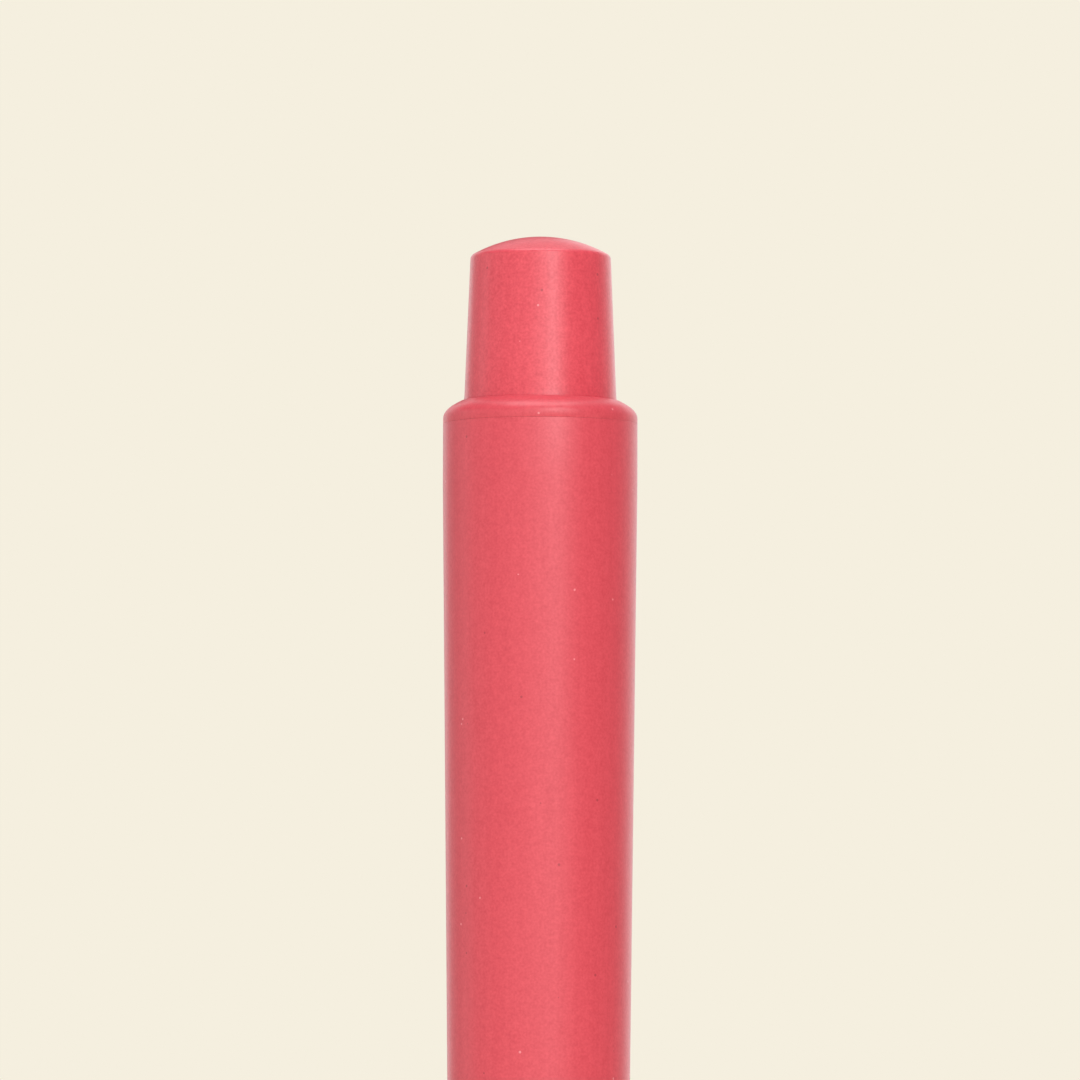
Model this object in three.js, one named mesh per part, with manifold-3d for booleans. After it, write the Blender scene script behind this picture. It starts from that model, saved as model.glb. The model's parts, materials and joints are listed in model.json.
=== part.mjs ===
// A retractable highlighter with a push button at the rear, in millimetres.
// The pen's axis is Z. Z = 0 is the rim of the nose, and the push button is at the top.
// It is drawn retracted: the button stands proud, and the nib waits behind a slit seal.
import * as THREE from "three";
import { mergeVertices } from "three/addons/utils/BufferGeometryUtils.js";
import Module from "manifold-3d";

const wasm = await Module();
wasm.setup();

// ---- Driving dimensions ----
const TOTAL_LENGTH = 142; // nose rim to the crown of the button's dome
const BARREL_RADIUS = 7.5; // widest, just under the end collar
const BARREL_FRONT_RADIUS = 6.62; // where the nose section meets the barrel
const JOINT_LEVEL = 40; // that joint
const TAPER_START = 122.9; // the barrel is straight above this level
const SEAM_LEVEL = 127.45; // barrel's rear end, under the collar
const COLLAR_TOP = 129.27;
const BUTTON_RADIUS = 5.91; // the skirt that slides in the collar
const COLLAR_BORE = 6;
const BUTTON_TIP_RADIUS = 5.42; // at the edge of the dome
const DOME_HEIGHT = 1.49;
const CARTRIDGE_TRAVEL = 9.5; // of the nib; the button goes further by CROWN_DROP
const SEAM_GAP = 0.07; // hairline between outer mouldings
const FIT_GAP = 0.1; // radial gap of parts that are pushed together
const REST_GAP = 0.3; // end gap of parts that rest on each other

// ---- Click mechanism ----
const TEETH = 8; // crown teeth of the thrust cam and the rotor
const FINS = 4; // rotor fins, and deep slots in the cam sleeve
const TOOTH_HALF_PITCH = 180 / TEETH; // degrees, from a valley to a peak
const RAMP = 0.05; // rise of every cam slope, in mm per degree
const ROTOR_TURN = 20; // degrees that the rotor turns while the button goes down
const CROWN_HEIGHT = RAMP * TOOTH_HALF_PITCH;
const CROWN_DROP = RAMP * ROTOR_TURN; // the rotor climbs this far into the thrust cam
const CROWN_GAP = 0.25;
const RIB_END = 90; // lowest point of the sleeve's ribs
const SLOT_START = -8; // degrees
const SLOT_END = 26.4;
const NOTCH_END = 53.5; // side wall of the shallow notch that holds the nib out
const FIN_HALF_WIDTH = 7; // degrees
const FIN_TOP = RIB_END + CARTRIDGE_TRAVEL - 0.5;
const CROWN_VALLEY = FIN_TOP + 0.05; // of the rotor's crown

const OUTER_SIDES = 40; // sides of the round casing parts
const INNER_SIDES = 32; // of the inner parts; a multiple of twice the teeth, so peaks fall on corners

const COLOURS = {
  coral: 0xe2565f,
  acetal: 0xf0efe9,
  clear: 0xdfe6ea,
  steel: 0xb9bcc0,
  rubber: 0x2b2b2d,
  ink: 0xff4f72,
  fibre: 0xf2a0ad,
};

const finish = (colour, roughness, metalness = 0) =>
  new THREE.MeshStandardMaterial({ color: COLOURS[colour], roughness, metalness });

// ---- Shape helpers ----
const radians = THREE.MathUtils.degToRad;

// A closed [radius, level] profile turned about Z, whichever way round it is listed.
function turned(profile, sides = INNER_SIDES) {
  const points = profile.map(([radius, level]) => new THREE.Vector2(radius, level));
  if (THREE.ShapeUtils.isClockWise(points)) points.reverse();
  if (points[0].x > 0 || points[points.length - 1].x > 0) points.push(points[0].clone());
  return new THREE.LatheGeometry(points, sides).rotateX(Math.PI / 2);
}

const ring = (inner, outer, low, high, sides = INNER_SIDES) =>
  turned([[inner, low], [outer, low], [outer, high], [inner, high]], sides);

// Points on an arc of a profile, angles in degrees from the +radius direction.
function arc(centreRadius, centreLevel, size, from, to, steps) {
  return Array.from({ length: steps + 1 }, (_, i) => {
    const angle = radians(from + ((to - from) * i) / steps);
    return [centreRadius + size * Math.cos(angle), centreLevel + size * Math.sin(angle)];
  });
}

// A slice of a ring between two angles in degrees.
function sector(inner, outer, from, to, low, high) {
  const shape = new THREE.Shape();
  shape.absarc(0, 0, outer, radians(from), radians(to), false);
  shape.absarc(0, 0, inner, radians(to), radians(from), true);
  shape.closePath();
  const options = { depth: high - low, bevelEnabled: false, curveSegments: 2 };
  return new THREE.ExtrudeGeometry(shape, options).translate(0, 0, low);
}

// Moves the vertices at one level to level + rise(angle in degrees), which makes slopes and teeth.
function slope(geometry, level, rise) {
  const at = geometry.attributes.position;
  for (let i = 0; i < at.count; i++) {
    if (Math.abs(at.getZ(i) - level) > 1e-3) continue;
    const angle = THREE.MathUtils.radToDeg(Math.atan2(at.getY(i), at.getX(i)));
    at.setZ(i, level + rise(angle));
  }
  return geometry;
}

// A rectangle with round corners, extruded along Z.
function roundedBar(width, depth, corner, low, high) {
  const [x, y] = [width / 2, depth / 2];
  const shape = new THREE.Shape();
  shape.absarc(x - corner, y - corner, corner, 0, Math.PI / 2, false);
  shape.absarc(corner - x, y - corner, corner, Math.PI / 2, Math.PI, false);
  shape.absarc(corner - x, corner - y, corner, Math.PI, 1.5 * Math.PI, false);
  shape.absarc(x - corner, corner - y, corner, 1.5 * Math.PI, 2 * Math.PI, false);
  shape.closePath();
  const options = { depth: high - low, bevelEnabled: false, curveSegments: 2 };
  return new THREE.ExtrudeGeometry(shape, options).translate(0, 0, low);
}

function solidOf(geometry) {
  const bare = new THREE.BufferGeometry();
  bare.setAttribute("position", geometry.attributes.position.clone());
  bare.setIndex(geometry.index);
  const merged = mergeVertices(bare, 1e-4);
  const triVerts = new Uint32Array(merged.index.array);
  const vertProperties = merged.attributes.position.array;
  return new wasm.Manifold(new wasm.Mesh({ numProp: 3, vertProperties, triVerts }));
}

function geometryOf(solid) {
  const { vertProperties, triVerts } = solid.getMesh();
  const geometry = new THREE.BufferGeometry();
  geometry.setAttribute("position", new THREE.BufferAttribute(vertProperties, 3));
  geometry.setIndex(new THREE.BufferAttribute(triVerts, 1));
  return geometry;
}

const join = (...pieces) => geometryOf(pieces.map(solidOf).reduce((a, b) => a.add(b)));
const cut = (piece, ...tools) =>
  geometryOf(tools.map(solidOf).reduce((a, b) => a.subtract(b), solidOf(piece)));

// Copies of a geometry turned about Z in equal steps.
const around = (count, make) =>
  Array.from({ length: count }, (_, i) => make().rotateZ((2 * Math.PI * i) / count));

const highlighter = new THREE.Group();

function add(name, geometry, material, parent = highlighter) {
  geometry.computeVertexNormals();
  const mesh = new THREE.Mesh(geometry, material);
  mesh.name = name;
  parent.add(mesh);
}

// ---- Casing ----
const BORE = { rear: 6.6, sleeve: 6.25, cartridge: 5.7, joint: 6.1 };
const SLEEVE_LOW = 86.3;
const SNAP_BEADS = [43.7, 47.2]; // levels of the two beads that hold the nose section
const BEAD_HALF = 0.5;

function barrel() {
  const grooves = SNAP_BEADS.toReversed().flatMap((level) => [
    [BORE.joint, level + BEAD_HALF],
    [BORE.joint + 0.17, level + BEAD_HALF / 2],
    [BORE.joint + 0.17, level - BEAD_HALF / 2],
    [BORE.joint, level - BEAD_HALF],
  ]);
  const profile = [
    [BORE.joint, JOINT_LEVEL],
    [BARREL_FRONT_RADIUS, JOINT_LEVEL],
    [BARREL_RADIUS, TAPER_START],
    [BARREL_RADIUS, SEAM_LEVEL],
    [BORE.rear, SEAM_LEVEL],
    [BORE.rear, 111.2],
    [BORE.sleeve, 110.9],
    [BORE.sleeve, SLEEVE_LOW - REST_GAP],
    [BORE.cartridge, SLEEVE_LOW - REST_GAP],
    [BORE.cartridge, 52],
    [BORE.joint, 51.6],
    ...grooves,
  ];
  return turned(profile, OUTER_SIDES);
}

// The collar closes the barrel and keeps the button in. Its shoulder is one smooth curve.
function endCollar() {
  const shoulder = new THREE.CubicBezierCurve(
    new THREE.Vector2(BARREL_RADIUS, SEAM_LEVEL + 0.45),
    new THREE.Vector2(BARREL_RADIUS, COLLAR_TOP - 0.82),
    new THREE.Vector2(BARREL_RADIUS - 0.45, COLLAR_TOP - 0.47),
    new THREE.Vector2(COLLAR_BORE + 0.12, COLLAR_TOP),
  );
  const profile = [
    [COLLAR_BORE, 123.4],
    [BORE.rear - FIT_GAP, 123.4],
    [BORE.rear - FIT_GAP, SEAM_LEVEL + SEAM_GAP],
    [BARREL_RADIUS - 0.03, SEAM_LEVEL + SEAM_GAP],
    ...shoulder.getPoints(6).map((p) => [p.x, p.y]),
    [COLLAR_BORE, COLLAR_TOP - 0.12],
  ];
  return turned(profile, OUTER_SIDES);
}

const GRIP = { radius: 6.35, grooves: 5, first: 20, pitch: 3, depth: 0.2, half: 0.55 };

function noseSection() {
  const side = new THREE.CubicBezierCurve(
    new THREE.Vector2(4.95, 0.5),
    new THREE.Vector2(5.75, 9),
    new THREE.Vector2(GRIP.radius, 14),
    new THREE.Vector2(GRIP.radius, 18.6),
  );
  const grooves = Array.from({ length: GRIP.grooves }, (_, i) => {
    const level = GRIP.first + GRIP.pitch * i;
    return [
      [GRIP.radius, level - GRIP.half],
      [GRIP.radius - GRIP.depth, level],
      [GRIP.radius, level + GRIP.half],
    ];
  }).flat();
  const spigot = BORE.joint - FIT_GAP;
  const beads = SNAP_BEADS.flatMap((level) => [
    [spigot, level - BEAD_HALF],
    [spigot + 0.2, level],
    [spigot, level + BEAD_HALF],
  ]);
  const profile = [
    [3.6, 1],
    [3.6, 0.3],
    [3.9, 0],
    ...arc(4.45, 0.5, 0.5, -90, 0, 3),
    ...side.getPoints(5).slice(1).map((p) => [p.x, p.y]),
    ...grooves,
    [GRIP.radius + 0.05, 35],
    [BARREL_FRONT_RADIUS, JOINT_LEVEL - SEAM_GAP],
    [spigot, JOINT_LEVEL - SEAM_GAP],
    ...beads,
    [spigot, 50.8],
    [5.8, 51.2],
    [5.35, 51.2],
    [5.35, 12],
    [4.55, 12],
    [4.55, 1],
  ];
  return turned(profile, OUTER_SIDES);
}

// ---- Push button and click mechanism ----
function pushButton() {
  const domeEdge = TOTAL_LENGTH - DOME_HEIGHT;
  const domeRadius = (BUTTON_TIP_RADIUS ** 2 + DOME_HEIGHT ** 2) / (2 * DOME_HEIGHT);
  const spread = THREE.MathUtils.radToDeg(Math.asin((BUTTON_TIP_RADIUS - 0.2) / domeRadius));
  const dome = arc(0, TOTAL_LENGTH - domeRadius, domeRadius, 90 - spread, 90, 6).slice(0, -1);
  const profile = [
    [0, 139.4],
    [3.9, 139.4],
    [3.9, 134],
    [4.35, 134],
    [4.35, 121.9],
    [6.4, 121.9],
    [6.4, 123.1],
    [BUTTON_RADIUS, 123.1],
    [BUTTON_RADIUS, COLLAR_TOP + 0.1],
    [BUTTON_RADIUS - 0.06, COLLAR_TOP + 0.45],
    [BUTTON_TIP_RADIUS, domeEdge - 0.2],
    ...dome,
    [0, TOTAL_LENGTH],
  ];
  return turned(profile, OUTER_SIDES);
}

// Height of a crown above its valleys: straight flanks, with a valley at angle 0.
function crown(angle) {
  const pitch = 2 * TOOTH_HALF_PITCH;
  const within = THREE.MathUtils.euclideanModulo(angle, pitch) / TOOTH_HALF_PITCH;
  return CROWN_HEIGHT * (within < 1 ? within : 2 - within);
}

const CROWN_RING = { inner: 2.6, outer: 4.15 };

function thrustCam() {
  const low = CROWN_VALLEY + CROWN_DROP + CROWN_GAP;
  const { inner, outer } = CROWN_RING;
  const tube = slope(ring(inner, outer, low, 133.7), low, crown).rotateZ(radians(ROTOR_TURN));
  const keys = around(FINS, () =>
    sector(outer - 0.1, 5.1, SLOT_START + 1.5, SLOT_END - 1.4, low + 1.6, low + 5.2),
  );
  return join(tube, ...keys);
}

function rotor() {
  const { inner, outer } = CROWN_RING;
  const hub = slope(ring(inner - 0.4, outer, 90.3, CROWN_VALLEY), CROWN_VALLEY, crown);
  const bore = turned([[0, 90], [1.65, 90], [1.65, 95.6], [0, 95.6]]);
  const pilot = turned([[0, 90.3], [2.4, 90.3], [2.4, 102.3], [2.1, 102.8], [0, 102.8]]);
  const fins = around(FINS, () => {
    const top = FIN_TOP - RAMP * FIN_HALF_WIDTH;
    const fin = sector(outer - 0.15, 5, -FIN_HALF_WIDTH, FIN_HALF_WIDTH, 95.4, top);
    return slope(fin, top, (angle) => RAMP * angle);
  });
  return cut(join(hub, pilot, ...fins), bore);
}

// The fixed sleeve: deep slots let the fins rise, and notches between them hold the nib out.
function camSleeve() {
  const top = 109.3;
  const wall = ring(5.3, 6.15, SLEEVE_LOW, top);
  const rib = (from, to) => () =>
    slope(sector(4.45, 5.4, from, to, RIB_END, top), RIB_END, (angle) => RAMP * (angle - from));
  const nextSlot = 360 / FINS + SLOT_START;
  return join(
    wall,
    ...around(FINS, rib(SLOT_END, NOTCH_END)),
    ...around(FINS, rib(NOTCH_END - 0.1, nextSlot)),
  );
}

const sleeveCap = () =>
  turned([[4.35, 109.6], [6.15, 109.6], [6.15, 110.6], [5.95, 110.8], [4.35, 110.8]]);

// ---- Ink cartridge ----
const NIB = { thickness: 2.8, width: 4.4, corner: 0.8, tip: 3.8, rear: 46.3, slant: 2.5 };
const SLIP = 0.1; // gap between the nib and its slot

function nib() {
  const { thickness, width, corner, tip, rear, slant } = NIB;
  const bar = roundedBar(thickness, width, corner, tip, rear);
  const edgeTilt = Math.atan2(slant, width);
  const below = new THREE.BoxGeometry(20, 20, 10)
    .translate(0, 0, -5)
    .rotateX(edgeTilt)
    .translate(0, 0, tip + slant / 2);
  // Two flats narrow the nib to its writing edge.
  const flats = [-1, 1].map((side) =>
    new THREE.BoxGeometry(4, 20, 12)
      .translate(2 * side, 0, -6)
      .rotateY(radians(14 * side))
      .rotateX(edgeTilt)
      .translate((side * thickness) / 2, 0, tip + slant / 2 + 3.4),
  );
  return cut(bar, below, ...flats);
}

const nibSlot = (low, high) =>
  roundedBar(NIB.thickness + 2 * SLIP, NIB.width + 2 * SLIP, NIB.corner + SLIP, low, high);

const O_RING = { level: 20.3, radius: 3.39, section: 0.31 };

function nibHolder() {
  const { level } = O_RING;
  const body = turned([
    [0, 10.3],
    [2.7, 10.3],
    [2.9, 10.5],
    [2.9, 15],
    [3.45, 17],
    [3.6, 18.8],
    [3.6, level - 0.55],
    [3.04, level - 0.55],
    [3.04, level + 0.55],
    [3.6, level + 0.55],
    [3.6, level + 1.7],
    [3.5, level + 1.9],
    [3.5, 32.95],
    [4.95, 32.95],
    [4.95, 35.2],
    [4.2, 35.2],
    [4.2, 39.9],
    [3.9, 40.2],
    [0, 40.2],
  ]);
  return cut(body, nibSlot(9, 41));
}

const slidingRing = () => {
  const { level, radius, section } = O_RING;
  return new THREE.TorusGeometry(radius, section, 8, INNER_SIDES).translate(0, 0, level);
};

const rearPlug = () =>
  turned([
    [0, 84.3],
    [4.2, 84.3],
    [4.2, 88.05],
    [5, 88.05],
    [5, 89.3],
    [3, 89.3],
    [3, 90.2],
    [1.55, 90.2],
    [1.55, 95],
    [1.25, 95.3],
    [0, 95.3],
  ]);

const inkCore = () =>
  cut(turned([[0, 40.8], [3.9, 40.8], [3.9, 83.5], [0, 83.5]]), nibSlot(40, NIB.rear + REST_GAP));

// ---- Nose: air-tight chamber, slit seal and return spring ----
const CHAMBER_STEP = 14; // the spring stands on this level
const WASHER = { low: 32.15, high: 32.8 };

const sealChamber = () =>
  turned([
    [3.1, 3.9],
    [4.45, 3.9],
    [4.45, 12 + REST_GAP],
    [5.25, 12 + REST_GAP],
    [5.25, CHAMBER_STEP],
    [4.2, CHAMBER_STEP],
    [4.2, 21.7],
    [4, 22],
    [3.9, 22],
    [3.75, 21.6],
    [3.75, 5],
    [3.1, 5],
  ]);

// An elastic disc with a thick rim. The slit runs along the nib's wide side.
function slitSeal() {
  const disc = turned([
    [0, 2.75],
    [3.5, 2.75],
    [3.7, 2.6],
    [4.45, 2.6],
    [4.45, 3.6],
    [3.7, 3.6],
    [3.5, 3.35],
    [0, 3.35],
  ]);
  const slit = new THREE.BoxGeometry(0.1, 5.8, 3).translate(0, 0, 3);
  return cut(disc, slit);
}

class Coil extends THREE.Curve {
  constructor(radius, low, high, turns) {
    super();
    Object.assign(this, { radius, low, high, turns });
  }
  getPoint(t) {
    const angle = 2 * Math.PI * this.turns * t;
    const deadTurn = 1 / this.turns; // each end turn lies nearly flat
    const climb = THREE.MathUtils.clamp((t - deadTurn) / (1 - 2 * deadTurn), 0, 1);
    const wire = 2 * SPRING.wire;
    const endRise = wire * Math.min(t / deadTurn, 1) + wire * Math.max((t - 1) / deadTurn + 1, 0);
    const level = this.low + endRise + (this.high - this.low - 2 * wire) * climb;
    return new THREE.Vector3(this.radius * Math.cos(angle), this.radius * Math.sin(angle), level);
  }
}

const SPRING = { radius: 4.75, wire: 0.27, turns: 8.5, stepsPerTurn: 14 };

function returnSpring() {
  const { radius, wire, turns, stepsPerTurn } = SPRING;
  const endGap = 0.15;
  const path = new Coil(radius, CHAMBER_STEP + wire + endGap, WASHER.low - wire - endGap, turns);
  const section = new THREE.Shape().absarc(0, 0, wire, 0, 2 * Math.PI, false);
  const options = { steps: turns * stepsPerTurn, curveSegments: 3, bevelEnabled: false, extrudePath: path };
  return new THREE.ExtrudeGeometry(section, options);
}

// ---- The assembly ----
const coral = finish("coral", 0.5);
const acetal = finish("acetal", 0.45);
const clear = finish("clear", 0.25);
const steel = finish("steel", 0.3, 1);
const rubber = finish("rubber", 0.7);

add("barrel", barrel(), coral);
add("end_collar", endCollar(), coral);
add("nose_section", noseSection(), coral);
add("cam_sleeve", camSleeve(), acetal);
add("sleeve_cap", sleeveCap(), acetal);
add("seal_chamber", sealChamber(), acetal);
add("slit_seal", slitSeal(), rubber);
add("seal_clamp_ring", ring(3.75, 4.45, 1 + REST_GAP, 2.3), acetal);
add("return_spring", returnSpring(), steel);

const button = new THREE.Group();
add("push_button", pushButton(), coral, button);
add("thrust_cam", thrustCam(), acetal, button);
highlighter.add(button);

const cartridge = new THREE.Group();
add("rotor", rotor(), acetal, cartridge);
add("rear_plug", rearPlug(), acetal, cartridge);
add("reservoir_tube", ring(4.3, 5, 35.3, 88), clear, cartridge);
add("core_film", ring(4.02, 4.17, 40.6, 83.8), clear, cartridge);
add("ink_core", inkCore(), finish("fibre", 0.9), cartridge);
add("nib_holder", nibHolder(), acetal, cartridge);
add("nib", nib(), finish("ink", 0.85), cartridge);
add("sliding_o_ring", slidingRing(), rubber, cartridge);
add("spring_washer", ring(3.65, 4.95, WASHER.low, WASHER.high), steel, cartridge);
highlighter.add(cartridge);

export default highlighter;
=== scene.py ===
import json
import math
import bmesh
import bpy
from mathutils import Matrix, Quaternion, Vector


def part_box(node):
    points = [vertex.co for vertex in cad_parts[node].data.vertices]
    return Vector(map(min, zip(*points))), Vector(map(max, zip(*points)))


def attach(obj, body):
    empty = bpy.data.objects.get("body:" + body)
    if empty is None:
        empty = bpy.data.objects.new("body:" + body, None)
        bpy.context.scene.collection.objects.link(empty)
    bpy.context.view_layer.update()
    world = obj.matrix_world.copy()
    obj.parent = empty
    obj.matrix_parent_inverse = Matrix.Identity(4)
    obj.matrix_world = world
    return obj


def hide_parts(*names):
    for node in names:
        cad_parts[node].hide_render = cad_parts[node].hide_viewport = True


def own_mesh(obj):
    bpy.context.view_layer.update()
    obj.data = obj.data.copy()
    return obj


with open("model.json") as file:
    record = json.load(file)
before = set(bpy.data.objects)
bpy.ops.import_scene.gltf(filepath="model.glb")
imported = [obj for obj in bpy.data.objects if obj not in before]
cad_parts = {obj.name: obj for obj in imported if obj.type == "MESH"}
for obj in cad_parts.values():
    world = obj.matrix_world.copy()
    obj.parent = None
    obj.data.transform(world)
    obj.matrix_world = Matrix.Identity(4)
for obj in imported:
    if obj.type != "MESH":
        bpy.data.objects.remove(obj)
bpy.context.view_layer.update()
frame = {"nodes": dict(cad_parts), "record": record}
mm = 0.001  # everything below is written in millimetres
print("frame loaded:", len(frame["nodes"]), "CAD nodes")


# Shader maths: a Signal is one output socket, and sums and products of it add Math nodes.
class Signal:
    def __init__(self, finish, socket):
        self.finish = finish
        self.socket = socket

    def maths(self, operation, first, second):
        return self.finish.node("ShaderNodeMath", {"operation": operation}, {0: first, 1: second})

    def __add__(self, other):
        return self.maths("ADD", self, other)

    def __sub__(self, other):
        return self.maths("SUBTRACT", self, other)

    def __mul__(self, other):
        return self.maths("MULTIPLY", self, other)

    def __lt__(self, other):
        return self.maths("LESS_THAN", self, other)

    def __gt__(self, other):
        return self.maths("GREATER_THAN", self, other)

    def __rsub__(self, other):
        return self.maths("SUBTRACT", other, self)

    __radd__ = __add__
    __rmul__ = __mul__


class Finish:
    def __init__(self, name, **constants):
        self.material = bpy.data.materials.new(name)
        self.material.use_nodes = True
        self.tree = self.material.node_tree
        self.shader = self.tree.nodes["Principled BSDF"]
        self.feed(**constants)
        self.place = self.node("ShaderNodeTexCoord", output="Object")

    def node(self, kind, settings=None, inputs=None, output=0):
        made = self.tree.nodes.new(kind)
        for setting, value in (settings or {}).items():
            if setting == "stops":
                for stop, (position, colour) in zip(made.color_ramp.elements, value):
                    stop.position = position
                    stop.color = (*colour, 1)
            else:
                setattr(made, setting, value)
        for socket, value in (inputs or {}).items():
            self.plug(made.inputs[socket], value)
        return Signal(self, made.outputs[output])

    def plug(self, socket, value):
        if isinstance(value, Signal):
            self.tree.links.new(value.socket, socket)
        elif isinstance(value, tuple) and len(value) == 3 and socket.type == "RGBA":
            socket.default_value = (*value, 1)
        else:
            socket.default_value = value

    # Sockets of the shader, written with underscores for spaces.
    def feed(self, **sockets):
        for name, value in sockets.items():
            self.plug(self.shader.inputs[name.replace("_", " ")], value)

    def blend(self, factor, first, second):
        colours = {0: factor, 6: first, 7: second}
        return self.node("ShaderNodeMix", {"data_type": "RGBA"}, colours, output=2)

    def stretched(self, x, y, z):
        return self.node("ShaderNodeMapping", inputs={"Vector": self.place, "Scale": (x, y, z)})

    def noise(self, scale, detail=2, place=None):
        sockets = {"Vector": place or self.place, "Scale": scale, "Detail": detail}
        return self.node("ShaderNodeTexNoise", inputs=sockets)

    def bump(self, height, strength, depth):
        sockets = {"Height": height, "Strength": strength, "Distance": depth * mm}
        self.feed(Normal=self.node("ShaderNodeBump", inputs=sockets))


# Colours are linear. Noise scales are per metre.
coralLook = {
    "casing": {
        "light": (0.76, 0.092, 0.12),
        "deep": (0.65, 0.06, 0.083),
        "roughness": 0.36,
        "grain": 0.25,
    },
    # The button's colours are painted lighter than the casing's. This is painted light for the brighter
    # light that falls on the button. Its lower roughness and deeper grain are its own.
    "button": {
        "light": (0.83, 0.101, 0.132),
        "deep": (0.67, 0.058, 0.082),
        "roughness": 0.31,
        "grain": 0.34,
    },
    "fineScale": 5200,
    "mottleScale": 1700,
    "streakScale": 2600,
    "streakStretch": 0.03,  # along the pen
    "contrast": 2.8,
    "roughnessSpread": 0.12,
    "grainDepth": 0.035,
    "speckScale": 700,
    "speckRadius": 0.07,  # in cells of that scale
    "speckStrength": 0.6,
    "lightSpeck": (0.9, 0.35, 0.38),
    "lightSpeckShare": 0.2,
    "darkSpeck": (0.36, 0.035, 0.045),
    "darkSpeckShare": 0.14,
}


# The tone noise runs from the light colour to the deep one, under a few specks.
def coralPlastic(name, use):
    look = {**coralLook, **coralLook[use]}
    finish = Finish(name, Specular_IOR_Level=0.5, IOR=1.49)
    fine = finish.noise(look["fineScale"], 3)
    mottle = finish.noise(look["mottleScale"], 2)
    streaks = finish.noise(look["streakScale"], 2, finish.stretched(1, 1, look["streakStretch"]))
    mixed = fine * 0.55 + mottle * 0.3 + streaks * 0.15
    tone = (mixed - 0.5) * look["contrast"] + 0.5
    colour = finish.blend(tone, look["light"], look["deep"])
    cells = {"Vector": finish.place, "Scale": look["speckScale"]}
    speckDistance = finish.node("ShaderNodeTexVoronoi", inputs=cells, output="Distance")
    cellColour = finish.node("ShaderNodeTexVoronoi", inputs=cells, output="Color")
    cellDraw = finish.node("ShaderNodeSeparateColor", inputs={0: cellColour})
    isSpeck = speckDistance < look["speckRadius"]
    isLight = isSpeck * (cellDraw > 1 - look["lightSpeckShare"])
    isDark = isSpeck * (cellDraw < look["darkSpeckShare"])
    colour = finish.blend(isLight * look["speckStrength"], colour, look["lightSpeck"])
    colour = finish.blend(isDark * look["speckStrength"], colour, look["darkSpeck"])
    roughness = look["roughness"] + (fine - 0.5) * look["roughnessSpread"]
    finish.feed(Base_Color=colour, Roughness=roughness)
    height = fine * 0.6 + mottle * 0.3 + streaks * 0.1
    finish.bump(height, look["grain"], look["grainDepth"])
    return finish.material


# Each of the others is one noise that runs between two colours. A noise is its scale, its
# detail and its stretch along the pen, and a range is the least value and what the noise adds.
innerLooks = {
    "mechanism": {
        "name": "white acetal",
        "colours": ((0.86, 0.85, 0.8), (0.78, 0.77, 0.72)),
        "noise": (180, 3, 0.25),
        "bumpNoise": (4200, 2, 1),
        "roughness": (0.36, 0.14),
        "bump": (0.25, 0.015),
        "constants": {"Specular_IOR_Level": 0.5},
    },
    "clear_plastic": {
        "name": "clear tube",
        "colours": ((0.86, 0.9, 0.93), (0.9, 0.9, 0.92)),
        "noise": (1500, 2, 0.02),
        "roughness": (0.1, 0.15),
        "alpha": (0.35, 0.08),
        "bump": (0.1, 0.01),
        "constants": {"Specular_IOR_Level": 0.5, "IOR": 1.49},
    },
    "film": {
        "name": "core film",
        "colours": ((0.95, 0.8, 0.84), (0.9, 0.9, 0.92)),
        "noise": (1500, 2, 0.02),
        "roughness": (0.1, 0.15),
        "alpha": (0.3, 0.08),
        "bump": (0.1, 0.01),
        "constants": {"Specular_IOR_Level": 0.5, "IOR": 1.49},
    },
    "ink_fibre": {
        "name": "ink core",
        "colours": ((0.9, 0.2, 0.26), (0.75, 0.08, 0.13)),
        "noise": (4200, 4, 0.04),
        "contrast": 2.5,
        "roughness": (0.75, 0.2),
        # Painted glow: a small emission paints in the ink's fluorescence, though the core is no lamp.
        "paintedGlow": 0.05,
        "bump": (0.6, 0.05),
        "constants": {"Specular_IOR_Level": 0.3},
    },
    "nib_fibre": {
        "name": "nib fibre",
        "colours": ((0.95, 0.2, 0.25), (0.7, 0.05, 0.09)),
        "noise": (4200, 4, 0.04),
        "contrast": 2.5,
        "roughness": (0.75, 0.2),
        # Painted glow: a small emission paints in the ink's fluorescence, though the nib is no lamp.
        "paintedGlow": 0.06,
        "bump": (0.6, 0.05),
        "constants": {"Specular_IOR_Level": 0.3},
    },
    "elastomer": {
        "name": "black elastomer",
        "colours": ((0.018, 0.018, 0.02), (0.035, 0.034, 0.036)),
        "noise": (2500, 3, 1),
        "roughness": (0.55, 0.2),
        "bump": (0.35, 0.02),
        "constants": {"Specular_IOR_Level": 0.4},
    },
    "spring_steel": {
        "name": "drawn steel",
        "colours": ((0.62, 0.63, 0.65), (0.5, 0.5, 0.52)),
        "noise": (3000, 3, 0.1),
        "roughness": (0.22, 0.2),
        "bump": (0.2, 0.01),
        "constants": {"Metallic": 1.0},
    },
}


def innerFinish(look):
    finish = Finish(look["name"], **look["constants"])

    def grained(scale, detail, stretch):
        return finish.noise(scale, detail, finish.stretched(1, 1, stretch))

    grain = grained(*look["noise"])
    tone = (grain - 0.5) * look["contrast"] + 0.5 if "contrast" in look else grain
    colour = finish.blend(tone, *look["colours"])
    least, added = look["roughness"]
    finish.feed(Base_Color=colour, Roughness=least + grain * added)
    if "alpha" in look:
        least, added = look["alpha"]
        finish.feed(Alpha=least + grain * added)
    # The inked parts get a painted glow, an emission in their own colour that stands in for the
    # fluorescence of the ink.
    if "paintedGlow" in look:
        finish.feed(Emission_Color=colour, Emission_Strength=look["paintedGlow"])
    height = grained(*look["bumpNoise"]) if "bumpNoise" in look else grain
    finish.bump(height, *look["bump"])
    return finish.material


finishes = {slot: innerFinish(look) for slot, look in innerLooks.items()}
finishes["casing"] = coralPlastic("coral plastic", "casing")
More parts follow.
